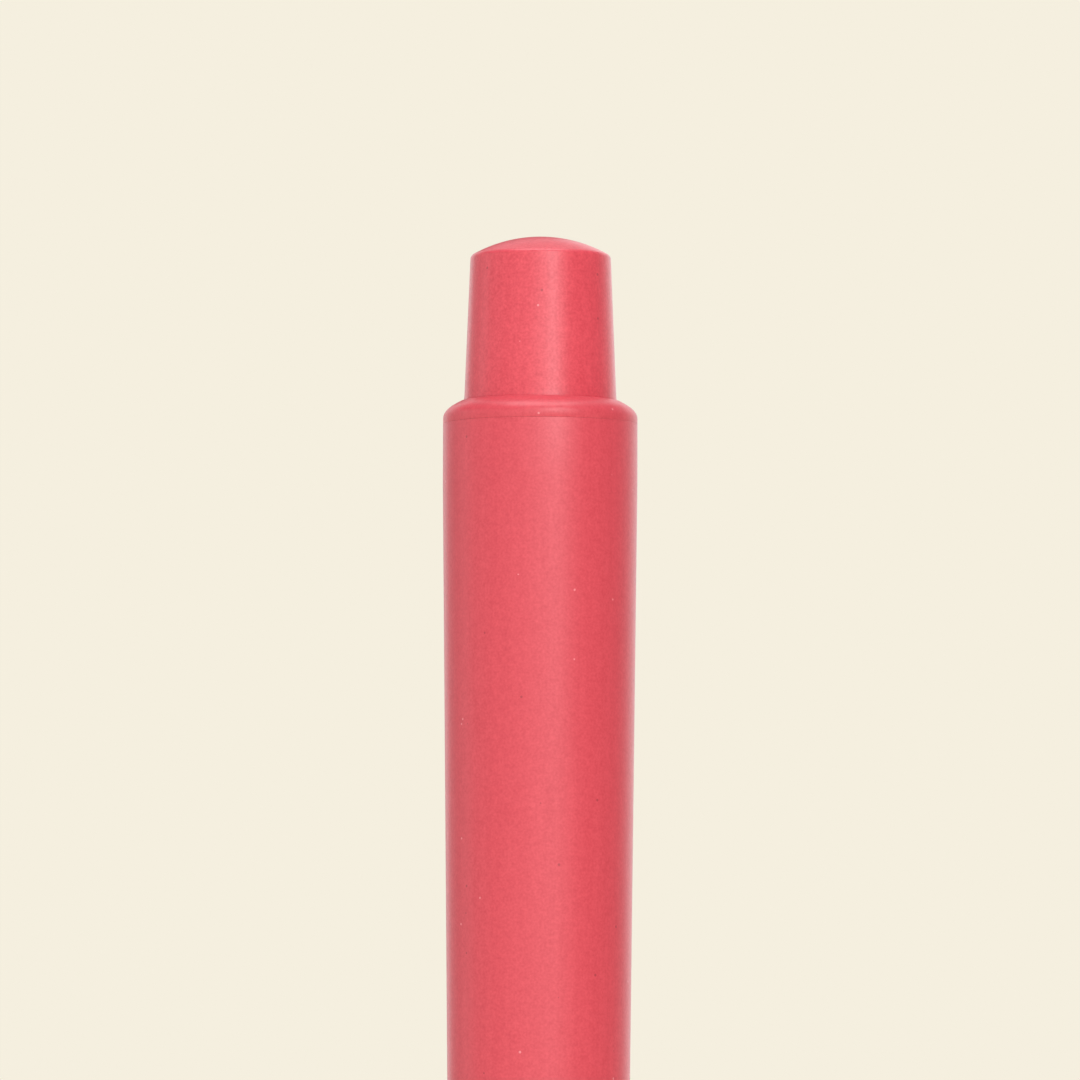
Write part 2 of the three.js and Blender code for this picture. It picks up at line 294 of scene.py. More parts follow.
# The button's coral is a lighter copy of the casing's, with painted light in it.
finishes["button"] = coralPlastic("coral plastic, polished and painted lighter", "button")
for subpart in frame["record"]["subparts"]:
    node = frame["nodes"][subpart["node"]]
    node.data.materials.clear()
    node.data.materials.append(finishes[subpart["material_slot"]])
print("finishes made:", len(finishes))


# Modelling: a round piece starts as one circle, and its wall is drawn out ring by ring.
tolerances = {"weld": 0.0005, "bevelWeld": 0.002, "slice": 0.0001, "level": 0.001}
smoothAngle = 40  # degrees, past which an edge stays sharp


def makeActive(piece):
    bpy.ops.object.select_all(action="DESELECT")
    bpy.context.view_layer.objects.active = piece
    piece.select_set(True)


def editAll(piece):
    makeActive(piece)
    bpy.ops.object.mode_set(mode="EDIT")
    bpy.ops.mesh.select_all(action="SELECT")


def startRing(name, radius, level, sides):
    bpy.ops.object.select_all(action="DESELECT")
    place = (0, 0, level * mm)
    bpy.ops.mesh.primitive_circle_add(vertices=sides, radius=radius * mm, location=place)
    bpy.ops.object.transform_apply(location=True, rotation=True, scale=True)
    piece = bpy.context.object
    piece.name = name
    bpy.ops.object.mode_set(mode="EDIT")
    bpy.ops.mesh.select_all(action="SELECT")
    return piece


def nextRing(radius, level, lastRadius, lastLevel):
    rise = (0, 0, (level - lastLevel) * mm)
    bpy.ops.mesh.extrude_edges_move(TRANSFORM_OT_translate={"value": rise})
    if radius == 0:
        bpy.ops.mesh.merge(type="CENTER")
    elif radius != lastRadius:
        growth = radius / lastRadius
        bpy.ops.transform.resize(value=(growth, growth, 1), center_override=(0, 0, level * mm))


def capOpenEnd(piece):
    bpy.ops.mesh.select_all(action="DESELECT")
    mesh = bmesh.from_edit_mesh(piece.data)
    for edge in mesh.edges:
        edge.select = edge.is_boundary
    bmesh.update_edit_mesh(piece.data)
    bpy.ops.mesh.edge_face_add()


# Merges doubles, turns the faces outwards and leaves edit mode.
def closeMesh():
    bpy.ops.mesh.select_all(action="SELECT")
    bpy.ops.mesh.remove_doubles(threshold=tolerances["weld"] * mm)
    bpy.ops.mesh.normals_make_consistent(inside=False)
    bpy.ops.object.mode_set(mode="OBJECT")


def applyModifier(piece, kind, **settings):
    makeActive(piece)
    modifier = piece.modifiers.new(kind.lower(), kind)
    for setting, value in settings.items():
        setattr(modifier, setting, value)
    bpy.ops.object.modifier_apply(modifier=modifier.name)


def roundEdges(piece, width, segments=3, sharperThan=25):
    limit = {"limit_method": "ANGLE", "angle_limit": math.radians(sharperThan)}
    applyModifier(piece, "BEVEL", width=width * mm, segments=segments, **limit)
    editAll(piece)
    bpy.ops.mesh.remove_doubles(threshold=tolerances["bevelWeld"] * mm)
    bpy.ops.object.mode_set(mode="OBJECT")


def smooth(piece):
    makeActive(piece)
    bpy.ops.object.shade_smooth_by_angle(angle=math.radians(smoothAngle))
    return piece


# A piece whose outline starts and ends at radius 0 is solid, and any other is a tube.
def roundPiece(name, rings, sides=128, edge=0.08, segments=3):
    isSolid = rings[0][0] == 0
    drawn = rings[1:] if isSolid else rings
    piece = startRing(name, *drawn[0], sides)
    for last, ring in zip(drawn, drawn[1:]):
        nextRing(*ring, *last)
    if isSolid:
        capOpenEnd(piece)
    else:
        nextRing(*drawn[0], *drawn[-1])
    closeMesh()
    if edge:
        roundEdges(piece, edge, segments)
    return smooth(piece)


# Joins a tool to a piece, or cuts it away, and uses the tool up.
def combine(piece, tool, operation):
    applyModifier(piece, "BOOLEAN", operation=operation, object=tool, solver="EXACT")
    bpy.data.objects.remove(tool)


# A smooth run of rings along a four-point curve.
def curvedRings(points, steps):
    rings = []
    for step in range(steps + 1):
        t = step / steps
        weights = ((1 - t) ** 3, 3 * t * (1 - t) ** 2, 3 * t * t * (1 - t), t**3)
        radius = sum(weight * point[0] for weight, point in zip(weights, points))
        level = sum(weight * point[1] for weight, point in zip(weights, points))
        rings.append((radius, level))
    return rings


# Rings between two rings, in equal steps, without the first.
def straightRings(start, end, steps):
    rings = []
    for step in range(1, steps + 1):
        along = step / steps
        rings.append(tuple(first + (last - first) * along for first, last in zip(start, end)))
    return rings


def mount(piece, node, body, slot, finish=None):
    piece.data.materials.clear()
    piece.data.materials.append(finishes[finish or slot])
    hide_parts(node)
    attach(piece, body)
    print("made", piece.name, len(piece.data.polygons), "faces")


# Levels along the pen come from the CAD node that a piece stands for.
def span(node):
    low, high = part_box(node)
    return low.z / mm, high.z / mm


# The nose section snaps into the barrel with beads at these levels.
snapBeads = (43.7, 47.2)

barrelShape = {
    "rear": 7.5,
    "front": 6.62,
    "taperTop": 122.9,
    "taperSteps": 16,
    "lipInset": 0.008,  # the seam under the collar is a hairline, almost flush
    "lipRise": 0.045,
    "lipWall": 7.3,
    "collarBore": 6.6,
    "collarSeat": 111.2,
    "sleeveBore": 6.25,
    "sleeveTop": 110.9,
    "sleeveSeat": 86,
    "bore": 5.7,
    "boreFoot": 52,
    "jointBore": 6.1,
    "jointTop": 51.6,
    "grooveDepth": 0.17,
    "grooveMouth": 0.5,  # half heights of the grooves for the beads
    "grooveFloor": 0.25,
    "edge": 0.015,
}


def makeBarrel():
    shape = barrelShape
    low, high = span("barrel")
    rear, front, joint = shape["rear"], shape["front"], shape["jointBore"]
    collarBore, sleeveBore, sleeveSeat = shape["collarBore"], shape["sleeveBore"], shape["sleeveSeat"]
    lipTop = high + shape["lipRise"]
    rings = [(joint, low), (front, low)]
    rings += straightRings((front, low), (rear, shape["taperTop"]), shape["taperSteps"])
    rings += [(rear, high), (rear - shape["lipInset"], lipTop), (shape["lipWall"], lipTop)]
    rings += [(collarBore, high), (collarBore, shape["collarSeat"]), (sleeveBore, shape["sleeveTop"])]
    rings += [(sleeveBore, sleeveSeat), (shape["bore"], sleeveSeat), (shape["bore"], shape["boreFoot"])]
    rings += [(joint, shape["jointTop"])]
    groove, mouth, floor = joint + shape["grooveDepth"], shape["grooveMouth"], shape["grooveFloor"]
    for bead in reversed(snapBeads):
        rings += [(joint, bead + mouth), (groove, bead + floor)]
        rings += [(groove, bead - floor), (joint, bead - mouth)]
    return roundPiece("barrelTube", rings, edge=shape["edge"])


endCollarShape = {
    "bore": 6.0,
    "plug": 6.5,  # the part inside the barrel
    "seam": 127.5,
    "undercut": 7.3,
    "undercutRise": 0.01,
    "seamInset": 0.006,
    "seamRise": 0.015,
    "shoulder": ((7.5, 127.9), (7.5, 128.45), (7.05, 128.8), (6.17, 129.25)),
    "shoulderSteps": 14,
    "mouth": ((6.1, 0), (6.02, -0.04), (6.0, -0.12)),  # levels from the top
}


def makeEndCollar():
    shape = endCollarShape
    low, high = span("end_collar")
    seam, plug, widest = shape["seam"], shape["plug"], shape["shoulder"][0][0]
    under = seam + shape["undercutRise"]
    rings = [(shape["bore"], low), (plug, low), (plug, under), (shape["undercut"], under)]
    rings += [(widest - shape["seamInset"], seam), (widest, seam + shape["seamRise"])]
    rings += curvedRings(shape["shoulder"], shape["shoulderSteps"])
    rings += [(radius, high + level) for radius, level in shape["mouth"]]
    return roundPiece("endCollar", rings, edge=0)


buttonShape = {
    "flange": 6.4,
    "flangeHeight": 1.2,
    "skirt": 5.91,
    "skirtTop": 129.3,
    "flare": ((5.91, 0), (5.9, 0.15), (5.865, 0.25), (5.855, 0.45)),  # levels from the skirt's top
    "flareSteps": 6,
    "tip": 5.425,
    "sideSteps": 12,
    "domeHeight": 1.49,
    "domeSteps": 18,
    "corner": 0.2,  # height of the rounding below the dome
    "cornerWidth": 0.35,
    "cornerLean": 0.008,
    "cornerReach": 0.17,
    "cornerSteps": 8,
    "hollow": 3.9,
    "roof": 2.6,  # thickness of the button's top
    "socket": 4.35,  # takes the thrust cam
    "socketTop": 134,
}


def makePushButton():
    shape = buttonShape
    low, high = span("push_button")
    flange, flangeTop = shape["flange"], low + shape["flangeHeight"]
    skirt, skirtTop, tip = shape["skirt"], shape["skirtTop"], shape["tip"]
    hollow, roof = shape["hollow"], high - shape["roof"]
    socket, socketTop = shape["socket"], shape["socketTop"]
    rings = [(0, roof), (hollow, roof), (hollow, socketTop), (socket, socketTop), (socket, low)]
    rings += [(flange, low), (flange, flangeTop), (skirt, flangeTop)]
    flare = [(radius, skirtTop + level) for radius, level in shape["flare"]]
    rings += curvedRings(flare, shape["flareSteps"])
    domeHeight, corner = shape["domeHeight"], shape["corner"]
    sideTop = high - domeHeight - corner
    rings += straightRings(flare[-1], (tip, sideTop), shape["sideSteps"])
    ball = (tip**2 + domeHeight**2) / (2 * domeHeight)  # radius of the dome
    inner = tip - shape["cornerWidth"]
    innerLevel = high - ball + math.sqrt(ball**2 - inner**2)
    reach = shape["cornerReach"]
    leaving = (tip - shape["cornerLean"], sideTop + corner)
    arriving = (inner + reach, innerLevel - reach * inner / ball)
    rounding = ((tip, sideTop), leaving, arriving, (inner, innerLevel))
    rings += curvedRings(rounding, shape["cornerSteps"])[1:]
    spread = math.asin(inner / ball)
    for step in range(1, shape["domeSteps"]):
        angle = spread * (1 - step / shape["domeSteps"])
        rings.append((ball * math.sin(angle), high - ball + ball * math.cos(angle)))
    rings.append((0, high))
    return roundPiece("pushButton", rings, edge=0)


noseShape = {
    "mouth": 3.6,
    "mouthWall": 1,
    "mouthChamfer": 0.3,
    "rim": (4.45, 0.5),  # centre and radius of its rounding
    "side": ((4.95, 0.5), (5.75, 9), (6.35, 14), (6.35, 18.6)),
    "sideSteps": 16,
    "neck": ((6.36, 33), (6.4, 35), (6.47, 36.5), (6.62, 39.93)),
    "neckSteps": 8,
    "joint": 6.0,
    "beadHeight": 0.17,
    "beadFoot": 0.5,  # half heights of a bead
    "beadTop": 0.14,
    "entry": (0.4, 0.2),  # chamfer at the end that goes into the barrel
    "bore": 5.35,
    "ledge": 12,
    "seat": 4.55,
    "edge": 0.05,
}
gripShape = {
    "radius": 6.35,
    "grooves": 5,
    "first": 20,
    "pitch": 3,
    "depth": 0.2,
    "half": 0.55,
    "steps": 8,
}


def makeNoseSection():
    shape, grip = noseShape, gripShape
    low, high = span("nose_section")
    mouth, wall, chamfer = shape["mouth"], shape["mouthWall"], shape["mouthChamfer"]
    rings = [(mouth, low + wall), (mouth, low + chamfer), (mouth + chamfer, low)]
    centre, corner = shape["rim"]
    for angle in range(-90, 1, 15):
        turn = math.radians(angle)
        rings.append((centre + corner * math.cos(turn), corner + corner * math.sin(turn)))
    rings += curvedRings(shape["side"], shape["sideSteps"])[1:]
    for count in range(grip["grooves"]):
        middle = grip["first"] + grip["pitch"] * count
        for step in range(grip["steps"] + 1):
            along = step / grip["steps"]
            depth = grip["depth"] * math.sin(math.pi * along) ** 2
            rings.append((grip["radius"] - depth, middle + grip["half"] * (2 * along - 1)))
    rings += curvedRings(shape["neck"], shape["neckSteps"])
    joint, bore, ledge, seat = shape["joint"], shape["bore"], shape["ledge"], shape["seat"]
    rings += [(joint, shape["neck"][-1][1])]
    crest, foot, top = joint + shape["beadHeight"], shape["beadFoot"], shape["beadTop"]
    for bead in snapBeads:
        rings += [(joint, bead - foot), (crest, bead - top), (crest, bead + top), (joint, bead + foot)]
    entryHeight, entryDepth = shape["entry"]
    rings += [(joint, high - entryHeight), (joint - entryDepth, high), (bore, high), (bore, ledge)]
    rings += [(seat, ledge), (seat, low + wall)]
    return roundPiece("noseSection", rings, edge=shape["edge"])


# The four corners of a flat ring's section.
def band(inner, outer, low, high):
    return [(inner, low), (outer, low), (outer, high), (inner, high)]


# In edit mode, removes what lies on the side of a plane that it faces, and closes the cut.
def sliceOff(place, facing):
    bpy.ops.mesh.select_all(action="SELECT")
    threshold = tolerances["slice"] * mm
    bpy.ops.mesh.bisect(
        plane_co=place, plane_no=facing, use_fill=True, clear_outer=True, threshold=threshold
    )


# Keeps the part of a mesh between two angles about the axis, less than half a turn apart.
def keepWedge(piece, start, end):
    editAll(piece)
    for angle, side in ((start, 1), (end, -1)):
        turn = math.radians(angle)
        sliceOff((0, 0, 0), (side * math.sin(turn), -side * math.cos(turn), 0))
    closeMesh()


# A new line of points up a wedge at one angle.
def cutColumn(piece, angle):
    editAll(piece)
    turn = math.radians(angle)
    across = (math.sin(turn), -math.cos(turn), 0)
    bpy.ops.mesh.bisect(plane_co=(0, 0, 0), plane_no=across, threshold=tolerances["slice"] * mm)
    bpy.ops.object.mode_set(mode="OBJECT")


# Lifts the points of one level by an amount that depends on their angle about the axis.
def slopeLevel(piece, level, rise):
    editAll(piece)
    bpy.ops.mesh.select_mode(type="VERT")
    columns = {}
    for point in bmesh.from_edit_mesh(piece.data).verts:
        if abs(point.co.z - level * mm) < tolerances["level"] * mm:
            angle = math.degrees(math.atan2(point.co.y, point.co.x))
            columns.setdefault(round(rise(angle), 4), []).append(point.index)
    for lift, members in columns.items():
        bpy.ops.mesh.select_all(action="DESELECT")
        mesh = bmesh.from_edit_mesh(piece.data)
        mesh.verts.ensure_lookup_table()
        for member in members:
            mesh.verts[member].select = True
        bmesh.update_edit_mesh(piece.data)
        bpy.ops.transform.translate(value=(0, 0, lift * mm))
    closeMesh()


# Joins a part to a piece in equal steps about the axis, each a copy with its own mesh.
def joinAround(piece, part, count):
    copies = [part]
    for turn in range(1, count):
        makeActive(part)
        bpy.ops.object.duplicate()
        copy = bpy.context.object
        copy.rotation_euler.z = 2 * math.pi * turn / count
        bpy.ops.object.transform_apply(rotation=True)
        copies.append(copy)
    for copy in copies:
        combine(piece, copy, "UNION")


# A rectangular bar with rounded upright corners, centred on the axis.
def roundedBar(name, thickness, width, corner, low, high):
    bpy.ops.object.select_all(action="DESELECT")
    bpy.ops.mesh.primitive_cube_add(size=mm)
    bar = bpy.context.object
    bar.name = name
    editAll(bar)
    bpy.ops.transform.resize(value=(thickness, width, high - low), center_override=(0, 0, 0))
    bpy.ops.transform.translate(value=(0, 0, (low + high) / 2 * mm))
    bpy.ops.mesh.select_mode(type="EDGE")
    bpy.ops.mesh.select_all(action="DESELECT")
    mesh = bmesh.from_edit_mesh(bar.data)
    for edge in mesh.edges:
        first, second = edge.verts
        edge.select = abs(first.co.z - second.co.z) > 0.5 * (high - low) * mm
    bmesh.update_edit_mesh(bar.data)
    bpy.ops.mesh.bevel(offset=corner * mm, segments=8)
    bpy.ops.mesh.select_mode(type="VERT")
    closeMesh()
    return bar


# Click mechanism. Angles are in degrees, and every cam slope rises by ramp for each degree.
clickShape = {
    "teeth": 8,
    "fins": 4,
    "ramp": 0.05,
    "rotorTurn": 20,
    "slot": (-8, 26.4),  # a deep slot of the sleeve, from and to
    "crownInner": 2.6,
    "crownOuter": 4.15,
    "crownValley": 99.05,
    "crownGap": 0.25,
    "sides": 144,
}


def crownRise(angle):
    halfPitch = 180 / clickShape["teeth"]
    within = angle % (2 * halfPitch)
    return clickShape["ramp"] * min(within, 2 * halfPitch - within)


camSleeveShape = {
    "inner": 5.3,
    "outer": 6.15,
    "rib": 4.45,  # how far in the ribs reach
    "overlap": 0.1,  # of the ribs with the wall
    "ribEnd": 90,
    "notchEnd": 53.5,
    "notchWall": 0.1,  # degrees
}


def makeCamSleeve():
    click, shape = clickShape, camSleeveShape
    inner, outer, overlap = shape["inner"], shape["outer"], shape["overlap"]
    low, high = span("cam_sleeve")
    sleeve = roundPiece("camSleeve", band(inner, outer, low, high), sides=click["sides"])
    start, end = click["slot"][1], 360 / click["fins"] + click["slot"][0]
    step, wall = shape["notchEnd"], shape["notchWall"]
    section = band(shape["rib"], inner + overlap, shape["ribEnd"], high - overlap)
    rib = roundPiece("rib", section, sides=click["sides"], edge=0)
    keepWedge(rib, start, end)
    cutColumn(rib, step - wall)
    cutColumn(rib, step)

    def saw(angle):  # two teeth, with an upright wall between them
        return click["ramp"] * (angle - start if angle < step - wall / 2 else angle - step + wall)

    slopeLevel(rib, shape["ribEnd"], saw)
    joinAround(sleeve, rib, click["fins"])
    return smooth(sleeve)


thrustCamShape = {
    "chamfer": 0.2,
    "key": 5.1,  # how far out the keys reach
    "keyOverlap": 0.1,
    "keyLevels": (1.6, 5.2),  # above the crown
    "keyPlay": 1.5,  # degrees to the slot's walls
    "keyEdge": 0.1,
}


def makeThrustCam():
    click, shape = clickShape, thrustCamShape
    inner, outer, chamfer = click["crownInner"], click["crownOuter"], shape["chamfer"]
    low = click["crownValley"] + click["ramp"] * click["rotorTurn"] + click["crownGap"]
    high = span("thrust_cam")[1]
    rings = [(inner, low), (outer, low), (outer, high - chamfer)]
    rings += [(outer - chamfer, high), (inner, high)]
    cam = roundPiece("thrustCam", rings, sides=click["sides"], edge=0)
    slopeLevel(cam, low, lambda angle: crownRise(angle - click["rotorTurn"]))
    start, end = click["slot"]
    foot, top = shape["keyLevels"]
    section = band(outer - shape["keyOverlap"], shape["key"], low + foot, low + top)
    key = roundPiece("key", section, edge=0)
    keepWedge(key, start + shape["keyPlay"], end - shape["keyPlay"])
    roundEdges(key, shape["keyEdge"])
    joinAround(cam, key, click["fins"])
    return smooth(cam)


rotorShape = {
    "pinBore": 1.65,
    "pinRoof": 95.6,
    "chamfer": 0.15,
    "spigot": 2.4,
    "spigotTip": 2.1,
    "spigotTaper": 0.5,
    "fin": 5,  # how far out the fins reach
    "finOverlap": 0.15,
    "finFoot": 95.4,
    "finTop": 99,
    "finHalf": 7,  # degrees
    "finEdge": 0.06,
}


def makeRotor():
    click, shape = clickShape, rotorShape
    valley, outer, ramp = click["crownValley"], click["crownOuter"], click["ramp"]
    pin, roof, chamfer = shape["pinBore"], shape["pinRoof"], shape["chamfer"]
    spigot, spigotTip = shape["spigot"], shape["spigotTip"]
    low, high = span("rotor")
    rings = [(0, roof), (pin, roof), (pin, low + chamfer), (pin + chamfer, low)]
    rings += [(outer - chamfer, low), (outer, low + chamfer), (outer, valley), (spigot, valley)]
    rings += [(spigot, high - shape["spigotTaper"]), (spigotTip, high), (0, high)]
    rotor = roundPiece("clickRotor", rings, sides=click["sides"], edge=0)
    slopeLevel(rotor, valley, crownRise)
    half = shape["finHalf"]
    top = shape["finTop"] - ramp * half
    section = band(outer - shape["finOverlap"], shape["fin"], shape["finFoot"], top)
    fin = roundPiece("fin", section, edge=0)
    keepWedge(fin, -half, half)
    slopeLevel(fin, top, lambda angle: ramp * angle)
    roundEdges(fin, shape["finEdge"])
    joinAround(rotor, fin, click["fins"])
    return smooth(rotor)


sleeveCapShape = {"inner": 4.35, "outer": 6.15, "chamfer": 0.2}


def makeSleeveCap():
    inner, outer, chamfer = sleeveCapShape["inner"], sleeveCapShape["outer"], sleeveCapShape["chamfer"]
    low, high = span("sleeve_cap")
    rings = [(inner, low), (outer, low), (outer, high - chamfer)]
    rings += [(outer - chamfer, high), (inner, high)]
    return roundPiece("sleeveCap", rings)


# Nose: seal, clamp ring, chamber and spring
chamberShape = {
    "mouth": 3.1,
    "mouthWall": 1.1,
    "bore": 3.75,
    "outer": 4.45,
    "flange": 5.25,
    "flangeLow": 12.3,
    "flangeHigh": 14,
    "neck": 4.2,
    "neckLip": (4, 0.3),  # radius at the top, and depth of the chamfer, outside
    "entry": (3.9, 0.4),  # and inside
}


def makeSealChamber():
    shape = chamberShape
    mouth, bore, outer = shape["mouth"], shape["bore"], shape["outer"]
    flange, neck = shape["flange"], shape["neck"]
    low, high = span("seal_chamber")
    wallTop, flangeLow, flangeHigh = low + shape["mouthWall"], shape["flangeLow"], shape["flangeHigh"]
    lip, lipHeight = shape["neckLip"]
    entry, entryDepth = shape["entry"]
    rings = [(mouth, low), (outer, low), (outer, flangeLow), (flange, flangeLow), (flange, flangeHigh)]
    rings += [(neck, flangeHigh), (neck, high - lipHeight), (lip, high), (entry, high)]
    rings += [(bore, high - entryDepth), (bore, wallTop), (mouth, wallTop)]
    return roundPiece("sealChamber", rings)


clampShape = {"inner": 3.75, "outer": 4.45, "edge": 0.12}


def makeSealClampRing():
    section = band(clampShape["inner"], clampShape["outer"], *span("seal_clamp_ring"))
    return roundPiece("sealClampRing", section, edge=clampShape["edge"])


sealShape = {
    "rimInner": 3.5,
    "rimOuter": 4.45,
    "rimChamfer": 0.2,
    "rimChamferHigh": 0.25,  # height of the upper one
    "rimEdge": 0.06,
    "lipLow": 2.75,
    "lipHigh": 3.35,
    "lipGap": 0.02,  # between the disc and the rim
    "crown": 0.06,  # the disc is a little thicker at its middle
    "slit": 0.1,
    "openTo": 0.16,  # share of its width that a lip keeps when the nib is out
}


def makeSealRim():
    shape = sealShape
    inner, outer, chamfer = shape["rimInner"], shape["rimOuter"], shape["rimChamfer"]
    low, high = span("slit_seal")
    rings = [(inner, low + chamfer), (inner + chamfer, low), (outer, low)]
    rings += [(outer, high), (inner + chamfer, high), (inner, high - shape["rimChamferHigh"])]
    return roundPiece("sealRim", rings, edge=shape["rimEdge"])


# One half of the elastic disc. It folds back against the rim as the nib comes through.
def makeSealLip(name, side):
    shape = sealShape
    low, high, crown = shape["lipLow"], shape["lipHigh"], shape["crown"]
    outer = shape["rimInner"] - shape["lipGap"]
    half, halfCrown = outer * 0.5, crown * 0.7
    rings = [(0, low - crown), (half, low - halfCrown), (outer, low), (outer, high)]
    rings += [(half, high + halfCrown), (0, high + crown)]
    lip = roundPiece(name, rings, edge=0)
    editAll(lip)
    sliceOff((side * shape["slit"] / 2 * mm, 0, 0), (-side, 0, 0))
    closeMesh()
    return smooth(lip)


springShape = {"radius": 4.75, "wire": 0.27, "turns": 8.5, "stepsPerTurn": 32, "wireSides": 12}


def makeReturnSpring():
    shape = springShape
    low, high = span("return_spring")
    wire, stepsPerTurn = shape["wire"], shape["stepsPerTurn"]
    bpy.ops.object.select_all(action="DESELECT")
    start = (shape["radius"] * mm, 0, (low + wire) * mm)
    upright = (math.pi / 2, 0, 0)
    section = {"vertices": shape["wireSides"], "radius": wire * mm, "fill_type": "NGON"}
    bpy.ops.mesh.primitive_circle_add(**section, location=start, rotation=upright)
    bpy.ops.object.transform_apply(location=True, rotation=True, scale=True)
    spring = bpy.context.object
    spring.name = "returnSpring"
    editAll(spring)
    steps = round(shape["turns"] * stepsPerTurn)
    closedRise = 2 * wire / stepsPerTurn  # an end turn lies on its neighbour
    closedHeight = 4 * wire  # of both end turns
    openRise = (high - low - 2 * wire - closedHeight) / (steps - 2 * stepsPerTurn)
    stepTurn = 2 * math.pi / stepsPerTurn
    for step in range(steps):
        isEnd = step < stepsPerTurn or step >= steps - stepsPerTurn
        bpy.ops.mesh.extrude_region_move()
        bpy.ops.transform.translate(value=(0, 0, (closedRise if isEnd else openRise) * mm))
        bpy.ops.transform.rotate(value=stepTurn, orient_axis="Z", center_override=(0, 0, 0))
    closeMesh()
    return smooth(spring)


# Ink cartridge
nibShape = {
    "thickness": 2.8,
    "width": 4.4,
    "corner": 0.8,
    "slant": 2.5,
    "flatAngle": 14,
    "flatRise": 3.4,
    "edge": 0.12,
    "play": 0.1,  # between the nib and its slot
}


def makeNib():
    shape = nibShape
    thickness, width = shape["thickness"], shape["width"]
    low, high = span("nib")
    nib = roundedBar("fibreNib", thickness, width, shape["corner"], low, high)
    tilt = math.atan2(shape["slant"], width)
    lean = math.radians(shape["flatAngle"])
    edgeLevel = low + shape["slant"] / 2
    editAll(nib)
    sliceOff((0, 0, edgeLevel * mm), (0, math.sin(tilt), -math.cos(tilt)))
    for side in (-1, 1):  # two flats narrow the nib to its writing edge
        place = (side * thickness / 2 * mm, 0, (edgeLevel + shape["flatRise"]) * mm)
        down = math.sin(lean)
        sliceOff(place, (side * math.cos(lean), down * math.sin(tilt), -down * math.cos(tilt)))
    closeMesh()
    roundEdges(nib, shape["edge"], sharperThan=30)
    return smooth(nib)


def cutNibSlot(piece, low, high):
    shape = nibShape
    play = shape["play"]
    thickness, width = shape["thickness"] + 2 * play, shape["width"] + 2 * play
    slot = roundedBar("slot", thickness, width, shape["corner"] + play, low, high)
    combine(piece, slot, "DIFFERENCE")


holderShape = {
    "mouth": 2.7,
    "tip": 2.9,
    "tipChamfer": 0.2,
    "cone": ((2.9, 15), (3.45, 17), (3.6, 18.8)),
    "groove": 3.04,
    "grooveLevel": 20.3,
    "grooveHalf": 0.55,
    "landTop": 1.7,  # this and shankStart lie above the groove's middle
    "shank": 3.5,
    "shankStart": 1.9,
    "flange": 4.95,
    "flangeLow": 32.95,
    "flangeHigh": 35.2,
    "tail": 4.2,
    "tailChamfer": 0.3,
    "edge": 0.06,
}


def makeNibHolder():
    shape = holderShape
    low, high = span("nib_holder")
    tip, land, groove, shank = shape["tip"], shape["cone"][-1][0], shape["groove"], shape["shank"]
    middle, half = shape["grooveLevel"], shape["grooveHalf"]
    flange, flangeLow, flangeHigh = shape["flange"], shape["flangeLow"], shape["flangeHigh"]
    tail, chamfer = shape["tail"], shape["tailChamfer"]
    rings = [(0, low), (shape["mouth"], low), (tip, low + shape["tipChamfer"])]
    rings += shape["cone"]
    rings += [(land, middle - half), (groove, middle - half), (groove, middle + half)]
    rings += [(land, middle + half), (land, middle + shape["landTop"])]
    rings += [(shank, middle + shape["shankStart"]), (shank, flangeLow), (flange, flangeLow)]
    rings += [(flange, flangeHigh), (tail, flangeHigh)]
    rings += [(tail, high - chamfer), (tail - chamfer, high), (0, high)]
    holder = roundPiece("nibHolder", rings, edge=shape["edge"])
    cutNibSlot(holder, low - 1, high + 1)
    return smooth(holder)


coreShape = {"radius": 3.9, "edge": 0.2, "slotEnd": 0.3}  # the slot ends a little past the nib


def makeInkCore():
    low, high = span("ink_core")
    section = band(0, coreShape["radius"], low, high)
    core = roundPiece("inkCore", section, edge=coreShape["edge"])
    cutNibSlot(core, low - 1, span("nib")[1] + coreShape["slotEnd"])
    return smooth(core)


plugShape = {
    "fit": 4.2,  # radius inside the reservoir tube
    "fitChamfer": (0.15, 0.4),
    "flange": 5,
    "flangeLow": 88.05,
    "flangeHigh": 89.3,
    "boss": 3,
    "bossTop": 90.2,
    "pin": 1.55,
    "pinChamfer": 0.3,
    "edge": 0.06,
}


def makeRearPlug():
    shape = plugShape
    fit, flange, boss, pin = shape["fit"], shape["flange"], shape["boss"], shape["pin"]
    flangeLow, flangeHigh, bossTop = shape["flangeLow"], shape["flangeHigh"], shape["bossTop"]
    inset, rise = shape["fitChamfer"]
    chamfer = shape["pinChamfer"]
    low, high = span("rear_plug")
    rings = [(0, low), (fit - inset, low), (fit, low + rise), (fit, flangeLow), (flange, flangeLow)]
    rings += [(flange, flangeHigh), (boss, flangeHigh), (boss, bossTop), (pin, bossTop)]
    rings += [(pin, high - chamfer), (pin - chamfer, high), (0, high)]
    return roundPiece("rearPlug", rings, edge=shape["edge"])


reservoirShape = {"inner": 4.3, "outer": 5, "edge": 0.12}


def makeReservoirTube():
    section = band(reservoirShape["inner"], reservoirShape["outer"], *span("reservoir_tube"))
    return roundPiece("reservoirTube", section, edge=reservoirShape["edge"])


filmShape = {"inner": 4.02, "outer": 4.17, "edge": 0.03}


def makeCoreFilm():
    section = band(filmShape["inner"], filmShape["outer"], *span("core_film"))
    return roundPiece("coreFilm", section, edge=filmShape["edge"], segments=2)


slidingRingShape = {"radius": 3.39, "steps": 24}


